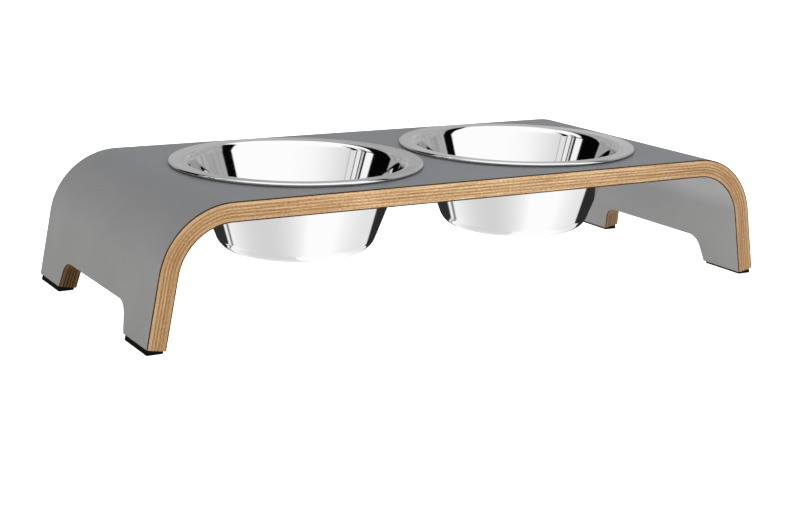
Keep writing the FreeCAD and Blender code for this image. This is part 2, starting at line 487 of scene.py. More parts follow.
@dataclass(frozen=True)
class FlatBoard:
    """The board unrolled: points as (station along the outer face, across), faces and the board's rim."""

    points: np.ndarray
    quads: np.ndarray
    rim: np.ndarray

    @classmethod
    def joined(cls, patches: list[np.ndarray]) -> "FlatBoard":
        """Joins patches that share their border points into one flat sheet.

        Args:
            patches: Grids of (station, across) points, each anticlockwise.

        Returns:
            The joined sheet; its rim is each edge that only one quad has, with the board on its left.
        """
        stacked = np.concatenate([patch.reshape(-1, 2) for patch in patches])
        starts = np.cumsum([0] + [patch.shape[0] * patch.shape[1] for patch in patches])
        grids = [grid_quads(*patch.shape[:2]) + start for patch, start in zip(patches, starts)]
        keys = np.round(stacked / SAME_POINT).astype(np.int64)
        _, kept, joined = np.unique(keys, axis=0, return_index=True, return_inverse=True)
        quads = joined.reshape(-1)[np.concatenate(grids)]
        edges = np.stack([quads, np.roll(quads, -1, axis=1)], axis=-1).reshape(-1, 2)
        count = len(kept)
        alone = ~np.isin(edges[:, 0] * count + edges[:, 1], edges[:, 1] * count + edges[:, 0])
        return cls(stacked[kept], quads, edges[alone])


@dataclass
class MouldedBridge(SubAssembly):
    """The bent board: laminate, crossed veneers and laminate, with two bowl holes and a notch in each leg.

    The fields that end in lines or steps say how finely the surfaces are divided.
    """

    top_half: float = 228.5 * MM
    depth: float = 250.0 * MM
    height: float = 112.0 * MM
    splay: float = math.radians(10.5)
    bend_radius: float = 62.0 * MM
    foot_lift: float = 2.0 * MM
    laminate: float = 1.0 * MM
    plywood: float = 14.0 * MM
    foot_width: float = 49.0 * MM
    notch_height: float = 23.5 * MM
    notch_slope: float = math.radians(18.0)
    notch_corner: float = 14.5 * MM
    hole_spacing: float = 227.0 * MM
    hole_radius: float = 94.25 * MM
    hole_margin: float = 110.0 * MM
    laminate_break: float = 0.35 * MM
    sharp_angle: float = math.radians(50.0)
    crossed_veneers: tuple[int, ...] = (3, 5, 7, 9)
    veneer_tones: tuple[float, ...] = (0.05, 0.1, 0.0, 0.0, -0.12, 0.0, -0.22, -0.1, -0.08, -0.05, -0.12)
    darkening_before: float = 110.0 * MM
    darkening_fade: float = 160.0 * MM
    # How deep the painted shade is in the left and in the right notches.
    notch_shades: tuple[float, float] = (1.0, 0.65)
    mark_margin: float = 0.1 * MM
    foot_lines: int = 13
    middle_lines: int = 23
    bend_lines: int = 41
    leg_lines: int = 5
    hole_lines: int = 45
    hole_steps: int = 5
    gap_steps: int = 2
    corner_steps: int = 12
    side_steps: int = 4

    @property
    def thickness(self) -> float:
        """Whole thickness of the board."""
        return self.plywood + 2 * self.laminate

    @property
    def turn(self) -> float:
        """Angle of each bend."""
        return math.pi / 2 - self.splay

    @property
    def leg_length(self) -> float:
        """Straight part of each leg, from its bend to the cut under the foot."""
        foot_height = self.foot_lift + self.thickness * math.sin(self.splay)
        rise = self.height - self.bend_radius * (1 - math.sin(self.splay)) - foot_height
        return rise / math.cos(self.splay)

    @property
    def length(self) -> float:
        """Whole length, over the outer edges of the feet."""
        bend = self.bend_radius * math.cos(self.splay)
        return 2 * (self.top_half + bend + self.leg_length * math.sin(self.splay))

    @property
    def foot_station(self) -> float:
        """Distance along the outer face from the middle of the top to the cut under a foot."""
        return self.top_half + self.bend_radius * self.turn + self.leg_length

    @property
    def notch_flat_half(self) -> float:
        """Half the notch's level top, between its rounded corners."""
        half_width = self.depth / 2 - self.foot_width - self.notch_height * math.tan(self.notch_slope)
        return half_width - self.notch_corner * math.tan((math.pi / 2 - self.notch_slope) / 2)

    def place(self, flat: np.ndarray, depth: float) -> np.ndarray:
        """Bends flat points into the bridge's shape.

        A station first uses up the flat top, then turns about the bend's centre, then runs on down the leg.
        Depth is measured square to the outer face.

        Args:
            flat: Points as (station, across).
            depth: How far below the outer face the points lie.

        Returns:
            Points in the shared frame.
        """
        along = np.abs(flat[:, 0])
        angle = np.clip((along - self.top_half) / self.bend_radius, 0.0, self.turn)
        leg = np.maximum(along - self.top_half - self.bend_radius * self.turn, 0.0)
        radius = self.bend_radius - depth
        x = np.minimum(along, self.top_half) + radius * np.sin(angle) + leg * np.cos(angle)
        z = self.height - self.bend_radius + radius * np.cos(angle) - leg * np.sin(angle)
        return np.stack([np.copysign(x, flat[:, 0]), flat[:, 1], z], axis=1)

    def line(self, station: float) -> np.ndarray:
        """Points across the board at one station, on the lines that all straight patches share.

        Args:
            station: Distance along the outer face.

        Returns:
            Points as (station, across), from front to back.
        """
        foot = np.linspace(self.notch_flat_half, self.depth / 2, self.foot_lines)
        middle = np.linspace(-self.notch_flat_half, self.notch_flat_half, self.middle_lines)
        across = np.concatenate([-foot[::-1], middle[1:-1], foot])
        return np.stack([np.full_like(across, station), across], axis=1)

    def notch_curve(self) -> np.ndarray:
        """Rounded corner and slanting side of a notch: an arc, tangent to the level top and to the side.

        Returns:
            Points as (station, half width), from the level top to the side's lower end.
        """
        half_width = self.depth / 2 - self.foot_width
        angle = np.linspace(0.0, math.pi / 2 - self.notch_slope, self.corner_steps + 1)
        up = self.notch_height - self.notch_corner * (1 - np.cos(angle))
        out = self.notch_flat_half + self.notch_corner * np.sin(angle)
        down = np.linspace(0.0, 1.0, self.side_steps + 1)[1:]
        side_up = up[-1] * (1 - down)
        side_out = out[-1] + (half_width - out[-1]) * down
        up, out = np.concatenate([up, side_up]), np.concatenate([out, side_out])
        return np.stack([self.foot_station - up, out], axis=1)

    def leg_patch(self, start: float, end: float) -> np.ndarray:
        """Plain grid over the end of the top, the bend and the leg down to the notch.

        Args:
            start: Station beside the hole's patch.
            end: Station of the notch's level top.

        Returns:
            Points by station and by place across.
        """
        bend = self.top_half + self.bend_radius * np.linspace(0.0, self.turn, self.bend_lines)
        straight = np.linspace(self.foot_station - self.leg_length, end, self.leg_lines)[1:]
        return np.stack([self.line(station) for station in np.concatenate([[start], bend, straight])])

    def hole_patch(self, near: float, far: float) -> np.ndarray:
        """Ruled patch from a hole's circle to a rectangle round it, along lines from the hole's middle.

        Args:
            near: Station of the rectangle's side towards the middle of the top.
            far: Station of its other side.

        Returns:
            Points by step outwards and by place round the hole.
        """
        along = np.linspace(near, far, self.hole_lines)
        edge = np.full_like(along, self.depth / 2)
        sides = [
            self.line(far),
            np.stack([along[::-1], edge], axis=1),
            self.line(near)[::-1],
            np.stack([along, -edge], axis=1),
        ]
        border = np.concatenate([side[:-1] for side in sides] + [sides[0][:1]])
        middle = np.array([self.hole_spacing / 2, 0.0])
        spoke = border - middle
        circle = middle + self.hole_radius * spoke / np.linalg.norm(spoke, axis=1, keepdims=True)
        return ruled(circle, border, self.hole_steps)

    def foot_patch(self, notch: np.ndarray) -> np.ndarray:
        """Ruled patch over a rear foot, from the notch's curve to the board's long edge.

        Args:
            notch: Points of the notch's curve.

        Returns:
            Points by place along the curve and by step across.
        """
        board_edge = np.stack([notch[:, 0], np.full(len(notch), self.depth / 2)], axis=1)
        return ruled(notch, board_edge, self.foot_lines - 1).transpose(1, 0, 2)

    def flat_board(self) -> FlatBoard:
        """Unrolled board, made of patches that share their border points; the left half mirrors the right.

        Returns:
            The flat sheet.
        """
        near = self.hole_spacing / 2 - self.hole_margin
        far = self.hole_spacing / 2 + self.hole_margin
        notch = self.notch_curve()
        rear_foot = self.foot_patch(notch)
        front_foot = rear_foot[:, ::-1] * [1.0, -1.0]
        right = [self.leg_patch(far, notch[0, 0]), self.hole_patch(near, far), rear_foot, front_foot]
        left = [patch[::-1] * [-1.0, 1.0] for patch in right]
        return FlatBoard.joined(right + left + [ruled(self.line(-near), self.line(near), self.gap_steps)])

    def notch_shade_and_leg_darkening(self, flat: np.ndarray) -> dict[str, np.ndarray]:
        """How strongly the wood is marked: painted shade on a notch's walls, browner and darker down the
        legs.

        The painted shade is even over a notch's walls and deeper on the left foot. The darkening rises in a
        straight line with the station, from a way before the bend until it is full.

        Args:
            flat: Points as (station, across).

        Returns:
            One number per point for each kind of mark.
        """
        along, across = np.abs(flat[:, 0]), np.abs(flat[:, 1])
        in_notch = along > self.foot_station - self.notch_height - self.mark_margin
        inside = across < self.depth / 2 - self.mark_margin
        # Painted shade, even over a notch's walls and deeper on the left foot than on the right.
        shade_share = np.where(flat[:, 0] < 0.0, *self.notch_shades)
        # The wood turns browner and darker from a way before each bend on down the leg.
        darkening = (along - (self.top_half - self.darkening_before)) / self.darkening_fade
        return {"notch_dullness_and_shade": shade_share * (in_notch & inside), "leg_darkening": np.clip(darkening, 0.0, 1.0)}

    def layer(
        self,
        name: str,
        flat: FlatBoard,
        depths: tuple[float, float],
        materials: list[bpy.types.Material],
        tone: float = 0.0,
    ) -> bpy.types.Object:
        """Builds one layer of the board: the flat sheet bent at two depths, with walls round its rim.

        Args:
            name: The piece's name.
            flat: The unrolled board.
            depths: Depth of the layer's outer and inner face.
            materials: The material of the faces and, where it differs, of the edges.
            tone: How much paler or darker than its finish the layer is.

        Returns:
            The layer's object.
        """
        count = len(flat.points)
        points = np.concatenate([self.place(flat.points, depth) for depth in depths])
        first, last = flat.rim[:, 0], flat.rim[:, 1]
        walls = np.stack([last, first, first + count, last + count], axis=1)
        faces = np.concatenate([flat.quads, flat.quads[:, ::-1] + count, walls])
        is_wall = np.arange(len(faces)) >= 2 * len(flat.quads)
        piece = add_piece(name, points, faces.tolist(), materials, is_wall * (len(materials) - 1))
        board = [np.column_stack([flat.points, np.full(count, depth)]) for depth in depths]
        set_attribute(piece, "board", np.concatenate(board))
        set_attribute(piece, "ply", np.repeat([0.0, 1.0], count))
        set_attribute(piece, "tone", np.full(2 * count, tone))
        for mark, strength in self.notch_shade_and_leg_darkening(flat.points).items():
            set_attribute(piece, mark, np.tile(strength, 2))
        piece.data.set_sharp_from_angle(angle=self.sharp_angle)
        return piece

    def break_edges(self, sheet: bpy.types.Object) -> None:
        """Breaks a laminate's sharp edges with a small bevel, which bares its dark core.

        Args:
            sheet: The laminate, with its core as the second material.
        """
        bevel = sheet.modifiers.new("sanded_edges", "BEVEL")
        bevel.width = self.laminate_break
        bevel.segments = 2
        bevel.limit_method = "ANGLE"
        bevel.angle_limit = self.sharp_angle
        bevel.harden_normals = True
        bevel.material = 1

    def build(self) -> list[bpy.types.Object]:
        """Builds the laminates and every veneer, and puts them in place of the frame's plain layers.

        Returns:
            The board's pieces.
        """
        flat = self.flat_board()
        pieces = []
        sheet_materials = [LaminateFace().build(), LaminateEdge().build()]
        for name, start in (("outer_laminate", 0.0), ("inner_laminate", self.laminate + self.plywood)):
            sheet = self.layer(f"{name}_sheet", flat, (start, start + self.laminate), sheet_materials)
            self.break_edges(sheet)
            pieces.append(self.dress(sheet, STAND_BODY, "grey_laminate", name))
        along = VeneerFinish(Grain.ALONG, colour_deep="#b28651", colour_pale="#e9c89e", notch_shade_strength=0.88)
        across = VeneerFinish(Grain.ACROSS, colour_deep="#916638", colour_pale="#cca473")
        wood = {finish.grain: finish.build() for finish in (along, across)}
        step = self.plywood / len(self.veneer_tones)
        for number, tone in enumerate(self.veneer_tones, start=1):
            grain = Grain.ACROSS if number in self.crossed_veneers else Grain.ALONG
            low = self.laminate + number * step
            veneer = self.layer(f"veneer_{number:02d}", flat, (low - step, low), [wood[grain]], tone)
            pieces.append(self.dress(veneer, STAND_BODY, "beech_plywood", "plywood_core"))
        return pieces


@dataclass(frozen=True)
class Stretch:
    """One stretch of a sheet's path: a straight length, or a bend of some radius through an angle."""

    length: float = 0.0
    radius: float = 0.0
    turn: float = 0.0
    steps: int = 1

    def follow(self, start: np.ndarray, heading: float) -> tuple[np.ndarray, np.ndarray]:
        """Points and headings along the stretch: start plus tangent times length, or an arc about its centre.

        Args:
            start: Where the stretch starts, as (radius, height).
            heading: Which way it starts, in radians from outwards towards up.

        Returns:
            The points after the start, and the heading at each.
        """
        share = np.linspace(0.0, 1.0, self.steps + 1)[1:]
        if self.turn == 0.0:
            tangent = np.array([math.cos(heading), math.sin(heading)])
            return start + share[:, None] * self.length * tangent, np.full(self.steps, heading)
        headings = heading + share * self.turn
        swing = math.copysign(self.radius, self.turn)
        across = [np.sin(headings) - math.sin(heading), math.cos(heading) - np.cos(headings)]
        return start + swing * np.stack(across, axis=1), headings


@dataclass
class PressedBowl(SubAssembly):
    """One steel bowl: a round sheet with a flat bottom, a tapered wall, a sloping flange and a rolled lip.

    Its radii are those of the sheet's middle line.
    """

    node: str
    sheet: float = 0.8 * MM
    wall_taper: float = math.radians(20.5)
    corner_radius: float = 17.4 * MM
    mouth_radius: float = 8.0 * MM
    flange_length: float = 8.95 * MM
    flange_slope: float = math.radians(2.0)
    lip_radius: float = 1.2 * MM
    lip_curl: float = math.radians(235.0)
    turns: int = 240

    def section(self) -> tuple[np.ndarray, np.ndarray]:
        """Middle line of the sheet from the axis to the end of its lip, fitted to the frame's own bowl.

        The bends, the flange and the lip have set sizes. The wall is as long as the height leaves over, and
        the bottom as wide as the rim's radius leaves over.

        Returns:
            Points as (radius, height), and the heading at each.
        """
        low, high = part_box(self.node)
        wall = math.pi / 2 - self.wall_taper
        half = self.sheet / 2
        lip_centre = np.array([(high.x - low.x) / 2, high.z]) - (self.lip_radius + half)
        lip_way = np.array([-math.sin(self.flange_slope), math.cos(self.flange_slope)])
        lip_start = lip_centre + self.lip_radius * lip_way
        corner = Stretch(radius=self.corner_radius, turn=wall, steps=22)
        mouth = Stretch(radius=self.mouth_radius, turn=self.flange_slope - wall, steps=20)
        flange = Stretch(length=self.flange_length, steps=3)
        lip = Stretch(radius=self.lip_radius, turn=-self.flange_slope - self.lip_curl, steps=40)

        point, heading = np.array([0.0, low.z + half]), 0.0
        for stretch in (corner, mouth, flange):
            points, headings = stretch.follow(point, heading)
            point, heading = points[-1], headings[-1]
        wall_length = (lip_start[1] - point[1]) / math.sin(wall)
        bottom_length = lip_start[0] - point[0] - wall_length * math.cos(wall)
        bottom = Stretch(length=bottom_length, steps=8)
        side = Stretch(length=wall_length, steps=12)

        line, turned = [np.array([[0.0, low.z + half]])], [np.zeros(1)]
        for stretch in (bottom, corner, side, mouth, flange, lip):
            points, headings = stretch.follow(line[-1][-1], turned[-1][-1])
            line.append(points)
            turned.append(headings)
        return np.concatenate(line), np.concatenate(turned)

    def revolved(self, profile: np.ndarray) -> np.ndarray:
        """Turns a profile about the upright axis: each pair becomes (first cos a, first sin a, second).

        Args:
            profile: Pairs of (outwards, upwards).

        Returns:
            Points or directions by place along the profile and by angle, in one list.
        """
        angle = np.arange(self.turns) * (2 * math.pi / self.turns)
        ring = np.stack([np.cos(angle), np.sin(angle)], axis=1)
        around = profile[:, None, :1] * ring[None]
        upward = np.repeat(profile[:, None, 1:], self.turns, axis=1)
        return np.concatenate([around, upward], axis=2).reshape(-1, 3)

    def build(self, steel: bpy.types.Material) -> bpy.types.Object:
        """Turns the sheet's two faces about the bowl's axis, with a fan of triangles at each pole.

        Args:
            steel: The bowl's material.

        Returns:
            The bowl's object, with the normals of the true surface.
        """
        line, headings = self.section()
        normal = np.stack([-np.sin(headings), np.cos(headings)], axis=1)
        half = self.sheet / 2
        loop = np.concatenate([line + half * normal, (line - half * normal)[::-1]])
        loop_normal = np.concatenate([normal, -normal[::-1]])

        low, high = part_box(self.node)
        centre = np.array([(low.x + high.x) / 2, (low.y + high.y) / 2, 0.0])
        poles = np.array([[0.0, 0.0, loop[0, 1]], [0.0, 0.0, loop[-1, 1]]])
        points = np.concatenate([self.revolved(loop[1:-1]), poles]) + centre
        normals = np.concatenate([self.revolved(loop_normal[1:-1]), [[0.0, 0.0, 1.0], [0.0, 0.0, -1.0]]])

        rows = len(loop) - 2
        number = np.arange(rows * self.turns).reshape(rows, self.turns)
        ahead = np.roll(number, -1, axis=1)
        quads = np.stack([number[:-1], number[1:], ahead[1:], ahead[:-1]], axis=-1).reshape(-1, 4)
        floor_fan = np.stack([np.full(self.turns, rows * self.turns), number[0], ahead[0]], axis=1)
        base_fan = np.stack([np.full(self.turns, rows * self.turns + 1), ahead[-1], number[-1]], axis=1)
        faces = quads.tolist() + floor_fan.tolist() + base_fan.tolist()
        piece = add_piece(f"{self.node}_steel", points, faces, [steel])
        piece.data.normals_split_custom_set_from_vertices(normals.tolist())
        return self.dress(piece, self.node, "polished_steel", self.node)


@dataclass
class FootPad(SubAssembly):
    """One rubber wedge under a foot: rounded corners, a small round at its lower edge, level underneath."""

    node: str
    bridge: MouldedBridge
    inset: float = 1.2 * MM
    corner: float = 1.5 * MM
    edge_round: float = 0.5 * MM
    sharp_angle: float = math.radians(40.0)
    corner_steps: int = 8
    round_steps: int = 5

    def outline(self, shrink: float) -> np.ndarray:
        """Rounded rectangle: each corner's arc, moved to its corner, anticlockwise.

        Args:
            shrink: How far inside the pad's own outline it lies.

        Returns:
            Points as (inwards from the middle of the foot, across).
        """
        half = np.array([self.bridge.thickness, self.bridge.foot_width]) / 2 - self.inset - self.corner
        angle = np.linspace(0.0, math.pi / 2, self.corner_steps + 1)
        quarter = np.arange(4)[:, None] * (math.pi / 2) + angle[None]
        arc = (self.corner - shrink) * np.stack([np.cos(quarter), np.sin(quarter)], axis=2)
        middle = np.array([[1, 1], [-1, 1], [-1, -1], [1, -1]]) * half
        return (arc + middle[:, None]).reshape(-1, 2)

    def build(self, rubber: bpy.types.Material) -> bpy.types.Object:
        """Stacks outlines from the foot's cut down to the floor.

        The upper outline lies on the cut, square to the leg, and the lower ones are carried along the leg to
        a level near the floor, drawn in by a quarter round.

        Args:
            rubber: The pad's material.

        Returns:
            The pad's object.
        """
        low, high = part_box(self.node)
        side = math.copysign(1.0, low.x + high.x)
        sin, cos = math.sin(self.bridge.splay), math.cos(self.bridge.splay)
        half = self.bridge.thickness / 2
        foot_x, foot_z = self.bridge.length / 2 - half * cos, self.bridge.foot_lift + half * sin
        rows = [(self.outline(0.0), None)]
        for turn in np.linspace(0.0, math.pi / 2, self.round_steps + 1):
            shrink, level = self.edge_round * (1 - math.cos(turn)), self.edge_round * (1 - math.sin(turn))
            rows.append((self.outline(shrink), level))
        rings = []
        for ring, level in rows:
            x, z = foot_x - ring[:, 0] * cos, foot_z - ring[:, 0] * sin
            if level is not None:
                x, z = x + (z - level) / cos * sin, np.full(len(ring), level)
            rings.append(np.stack([side * x, ring[:, 1] * side + (low.y + high.y) / 2, z], axis=1))
        count = len(rings[0])
        number = np.arange(len(rings) * count).reshape(len(rings), count)
        ahead = np.roll(number, -1, axis=1)
        walls = np.stack([number[:-1], ahead[:-1], ahead[1:], number[1:]], axis=-1).reshape(-1, 4)
        faces = walls.tolist() + [number[0][::-1].tolist(), number[-1].tolist()]
        piece = add_piece(f"{self.node}_wedge", np.concatenate(rings), faces, [rubber])
        piece.data.set_sharp_from_angle(angle=self.sharp_angle)
        return self.dress(piece, STAND_BODY, "black_rubber", self.node)


@dataclass(frozen=True)
class Viewpoint:
    """The camera: where it stands round the object, what it looks at, and its lens."""

    azimuth: float = math.radians(-30.881)
    elevation: float = math.radians(13.766)
    roll: float = math.radians(1.6)
    distance: float = 1402.1 * MM
    target: tuple[float, float, float] = (-8.3 * MM, 0.0, 22.0 * MM)
    lens: float = 70.12
    sensor_width: float = 36.0
    far_clip: float = 100.0

    def build(self) -> bpy.types.Object:
        """Makes the camera and the scene's view of it.

        Returns:
            The camera.
        """
        back = Vector((math.sin(self.azimuth) * math.cos(self.elevation),
                       -math.cos(self.azimuth) * math.cos(self.elevation), math.sin(self.elevation)))
        right = Vector((0.0, 0.0, 1.0)).cross(back).normalized()
        up = back.cross(right)
        turned_right = right * math.cos(self.roll) + up * math.sin(self.roll)
        turned_up = up * math.cos(self.roll) - right * math.sin(self.roll)
        data = bpy.data.cameras.new("photo_view")
        data.lens = self.lens
        data.sensor_width = self.sensor_width
        data.clip_end = self.far_clip
        camera = bpy.data.objects.new("photo_view", data)
        axes = Matrix((turned_right, turned_up, back)).transposed()
        camera.matrix_world = Matrix.Translation(Vector(self.target) + back * self.distance) @ axes.to_4x4()
        bpy.context.scene.collection.objects.link(camera)
        bpy.context.scene.camera = camera
        return camera


@dataclass(frozen=True)
class Oval:
    """An oval on the tent, in degrees round from the camera and degrees of height, with a soft line."""

    middle: float
    level: float
    half_width: float
    half_height: float
    blur: float = 0.025

    def share(self, tree: bpy.types.NodeTree, place: bpy.types.NodeSocket) -> bpy.types.NodeSocket:
        """Adds the nodes that say whether a place lies in the oval.

        With a the angle and e the height, the oval's reach is the root of
        ((a - middle) / half width)^2 + ((e - level) / half height)^2, which is one on its line.

        Args:
            tree: The world's node tree.
            place: Angle and height, as a vector.

        Returns:
            One inside the oval, none outside it.
        """
        middle = (math.radians(self.middle), math.radians(self.level), 0.0)
        half = (math.radians(self.half_width), math.radians(self.half_height), 1.0)
        moved = add_node(tree, "VectorMath", {"operation": "SUBTRACT"}, values={1: middle}, links={0: place})
        scaled = add_node(tree, "VectorMath", {"operation": "DIVIDE"}, values={1: half},
                          links={0: moved.outputs["Vector"]})
        reach = add_node(tree, "VectorMath", {"operation": "LENGTH"}, links={0: scaled.outputs["Vector"]})
        return add_node(tree, "MapRange", SMOOTH, links={"Value": reach.outputs["Value"]}, values={
            "From Min": 1.0 + self.blur, "From Max": 1.0 - self.blur}).outputs["Result"]


@dataclass(frozen=True)
class Fade:
    """A change of a value between two angles in degrees, level beyond them."""

    start: float
    end: float
    low: float = 0.0
    high: float = 1.0

    @property
    def values(self) -> dict[str, float]:
        """The change as a Map Range node takes it, in radians."""
        return {"From Min": math.radians(self.start), "From Max": math.radians(self.end),
                "To Min": self.low, "To Max": self.high}


@dataclass(frozen=True)
class Tent:
    """White tent over the light table, as the polished steel mirrors it.

    A direction has an angle round from the camera, positive to the right, and a height. Angles are in
    degrees, and the stops of a ramp are shares of its span.
    """

    facing: float
    strength: float = 1.42
    bright: ClassVar[str] = "#ffffff"
    dark: ClassVar[str] = "#040404"
    dusk: ClassVar[str] = "#303030"
    # The grey room behind, which shows through an opening with a dark border on each side, and far back.
    room_deep: str = "#999999"
    room_pale: str = "#b4b4b4"
    room_marks: float = 7.5
    right_opening: Oval = Oval(131.0, 18.0, 46.5, 39.0)
    right_room: Oval = Oval(142.0, 15.0, 44.5, 33.0)
    left_opening: Oval = Oval(-143.5, 17.0, 50.0, 38.0)
    left_room: Oval = Oval(-165.5, 12.0, 41.0, 37.0)
    back_room: Oval = Oval(180.0, 8.0, 24.0, 28.0)
    left_flag: Oval = Oval(-90.0, 30.0, 12.0, 6.0)
    # Thin dark seams in the bright wall on the left, which lean with their height and end in a dark cap.
    seam_lean: float = 0.5
    seam_cap: Oval = Oval(-54.0, 47.0, 5.2, 17.0)
    seam_span: Fade = Fade(-91.6, 28.4)
    seam_stops: tuple[tuple[float, str], ...] = (
        (0.153, "#f8f8f8"), (0.158, dark), (0.18, dark), (0.185, "#d0d0d0"), (0.203, "#d8d8d8"),
        (0.207, "#141414"), (0.217, "#141414"), (0.221, "#ececec"), (0.267, "#ececec"), (0.272, "#606060"),
        (0.279, "#606060"), (0.284, "#e0e0e0"), (0.346, "#e0e0e0"), (0.352, "#909090"), (0.358, "#dcdcdc"),
        (0.55, "#ececec"), (0.75, "#fafafa"), (1.0, bright))
    shoulder: Fade = Fade(54.0, 46.0)
    # The light table below the floor line, dimmer on the left and far on the right than between them, with
    # its dark sides and a thin grey line beside the left one.
    bow: float = 0.083
    narrowing: Fade = Fade(-82.0, -60.0, 0.45, 1.0)
    left_dim: Fade = Fade(-108.0, 26.0, -0.82, 1.0)
    left_dimmest: str = "#d4d4d4"
    right_dim: Fade = Fade(70.0, 124.0, 1.0, 0.28)
    right_dimmest: str = "#e0e0e0"
    spreading: Fade = Fade(-57.0, -51.0, 0.897, 1.083)
    full_turn: Fade = Fade(-180.0, 180.0)
    side_stops: tuple[tuple[float, str], ...] = (
        (0.158, dusk), (0.164, bright), (0.174, bright), (0.178, "#808080"), (0.187, "#808080"),
        (0.192, bright), (0.850, bright), (0.855, dusk))
    # The floor line, lower on the left, and the dark gap between table and tent, which lies towards the left.
    left_drop: Fade = Fade(-95.0, -108.0, 0.0, math.radians(13.0))
    floor_line: Fade = Fade(-2.0, 2.0)
    gap_turn: float = 25.0
    gap_reach: Fade = Fade(85.0, 70.0)
    gap_height: Fade = Fade(14.0, 10.0)

    def upper_light(
        self, tree: bpy.types.NodeTree, way: bpy.types.NodeSocket,
        angle: bpy.types.NodeSocket, height: bpy.types.NodeSocket,
    ) -> bpy.types.NodeSocket:
        """Colour of the tent above the floor line.

        The tent is bright, with a small grey flag on the left. The openings are laid over it, each a dark
        oval with the room's grey oval in it. Below the shoulder the seams, a ramp on the angle plus a share
        of the height, darken all of it.

        Args:
            tree: The world's node tree.
            way: The direction of a ray.
            angle: Its angle round from the camera.
            height: Its height.

        Returns:
            The colour.
        """
        marks = add_node(tree, "TexNoise", values={"Scale": self.room_marks, "Detail": 2.0},
                         links={"Vector": way})
        room = add_node(tree, "ValToRGB", stops=((0.35, self.room_deep), (0.65, self.room_pale)),
                        links={"Fac": marks.outputs["Fac"]}).outputs["Color"]
        place = add_node(tree, "CombineXYZ", links={"X": angle, "Y": height}).outputs["Vector"]
        colour = add_node(tree, "Mix", COLOURS, values={MIX_UNDER: linear(self.bright)}, links={
            MIX_SHARE: self.left_flag.share(tree, place), MIX_OVER: room}).outputs[MIX_RESULT]
        for border, view in ((self.right_opening, self.right_room), (self.left_opening, self.left_room)):
            opened = add_node(tree, "Mix", COLOURS, values={MIX_OVER: linear(self.dark)}, links={
                MIX_SHARE: border.share(tree, place), MIX_UNDER: colour})
            colour = add_node(tree, "Mix", COLOURS, links={
                MIX_SHARE: view.share(tree, place), MIX_UNDER: opened.outputs[MIX_RESULT],
                MIX_OVER: room}).outputs[MIX_RESULT]
        backed = add_node(tree, "Mix", COLOURS, links={
            MIX_SHARE: self.back_room.share(tree, place), MIX_UNDER: colour, MIX_OVER: room})

        slant = add_node(tree, "Math", {"operation": "MULTIPLY_ADD"}, values={1: self.seam_lean},
                         links={0: height, 2: angle}).outputs["Value"]
        leaning = add_node(tree, "CombineXYZ", links={"X": slant, "Y": height}).outputs["Vector"]
        capped = add_node(tree, "Mix", COLOURS, values={MIX_OVER: linear(self.dark)}, links={
            MIX_SHARE: self.seam_cap.share(tree, leaning), MIX_UNDER: backed.outputs[MIX_RESULT]})
        across = add_node(tree, "MapRange", values=self.seam_span.values, links={"Value": slant})
        seams = add_node(tree, "ValToRGB", stops=self.seam_stops, links={"Fac": across.outputs["Result"]})
        below = add_node(tree, "MapRange", SMOOTH, self.shoulder.values, {"Value": height})
        return add_node(tree, "Mix", COLOURS_MULTIPLIED, links={
            MIX_SHARE: below.outputs["Result"], MIX_UNDER: capped.outputs[MIX_RESULT],
            MIX_OVER: seams.outputs["Color"]}).outputs[MIX_RESULT]

    def lower_light(
        self, tree: bpy.types.NodeTree, angle: bpy.types.NodeSocket, height: bpy.types.NodeSocket,
    ) -> bpy.types.NodeSocket:
        """Colour of the light table below the floor line.

        The drop is the height less the bow times the angle squared, which is nearly even over a bowl's wall.
        The angle is narrowed towards the nadir by the drop. Over each dim a share runs evenly with that
        angle, and the light is the dimmest grey plus the rest times the share squared. The dark sides are a
        ramp on the angle spread again by the drop, and all of them are multiplied.

        Args:
            tree: The world's node tree.
            angle: A ray's angle round from the camera.
            height: Its height.

        Returns:
            The colour.
        """
        square = add_node(tree, "Math", {"operation": "MULTIPLY"}, links={0: angle, 1: angle})
        drop = add_node(tree, "Math", {"operation": "MULTIPLY_ADD"}, values={1: -self.bow},
                        links={0: square.outputs["Value"], 2: height}).outputs["Value"]
        place, places = angle, []
        for fade in (self.narrowing, self.spreading):
            share = add_node(tree, "MapRange", values=fade.values, links={"Value": drop})
            place = add_node(tree, "Math", {"operation": "MULTIPLY"},
                             links={0: place, 1: share.outputs["Result"]}).outputs["Value"]
            places.append(place)
        narrowed, spread = places

        dims = []
        for fade, dimmest in ((self.left_dim, self.left_dimmest), (self.right_dim, self.right_dimmest)):
            share = add_node(tree, "MapRange", values=fade.values,
                             links={"Value": narrowed}).outputs["Result"]
            squared = add_node(tree, "Math", {"operation": "MULTIPLY"}, links={0: share, 1: share})
            dims.append(add_node(tree, "MapRange", values={"To Min": linear(dimmest)[0]},
                                 links={"Value": squared.outputs["Value"]}).outputs["Result"])
        table = add_node(tree, "Math", {"operation": "MULTIPLY"}, links=dict(enumerate(dims)))
        around = add_node(tree, "MapRange", values=self.full_turn.values, links={"Value": spread})
        sides = add_node(tree, "ValToRGB", stops=self.side_stops, links={"Fac": around.outputs["Result"]})
        return add_node(tree, "Mix", COLOURS_MULTIPLIED, values={MIX_SHARE: 1.0}, links={
            MIX_UNDER: table.outputs["Value"], MIX_OVER: sides.outputs["Color"]}).outputs[MIX_RESULT]

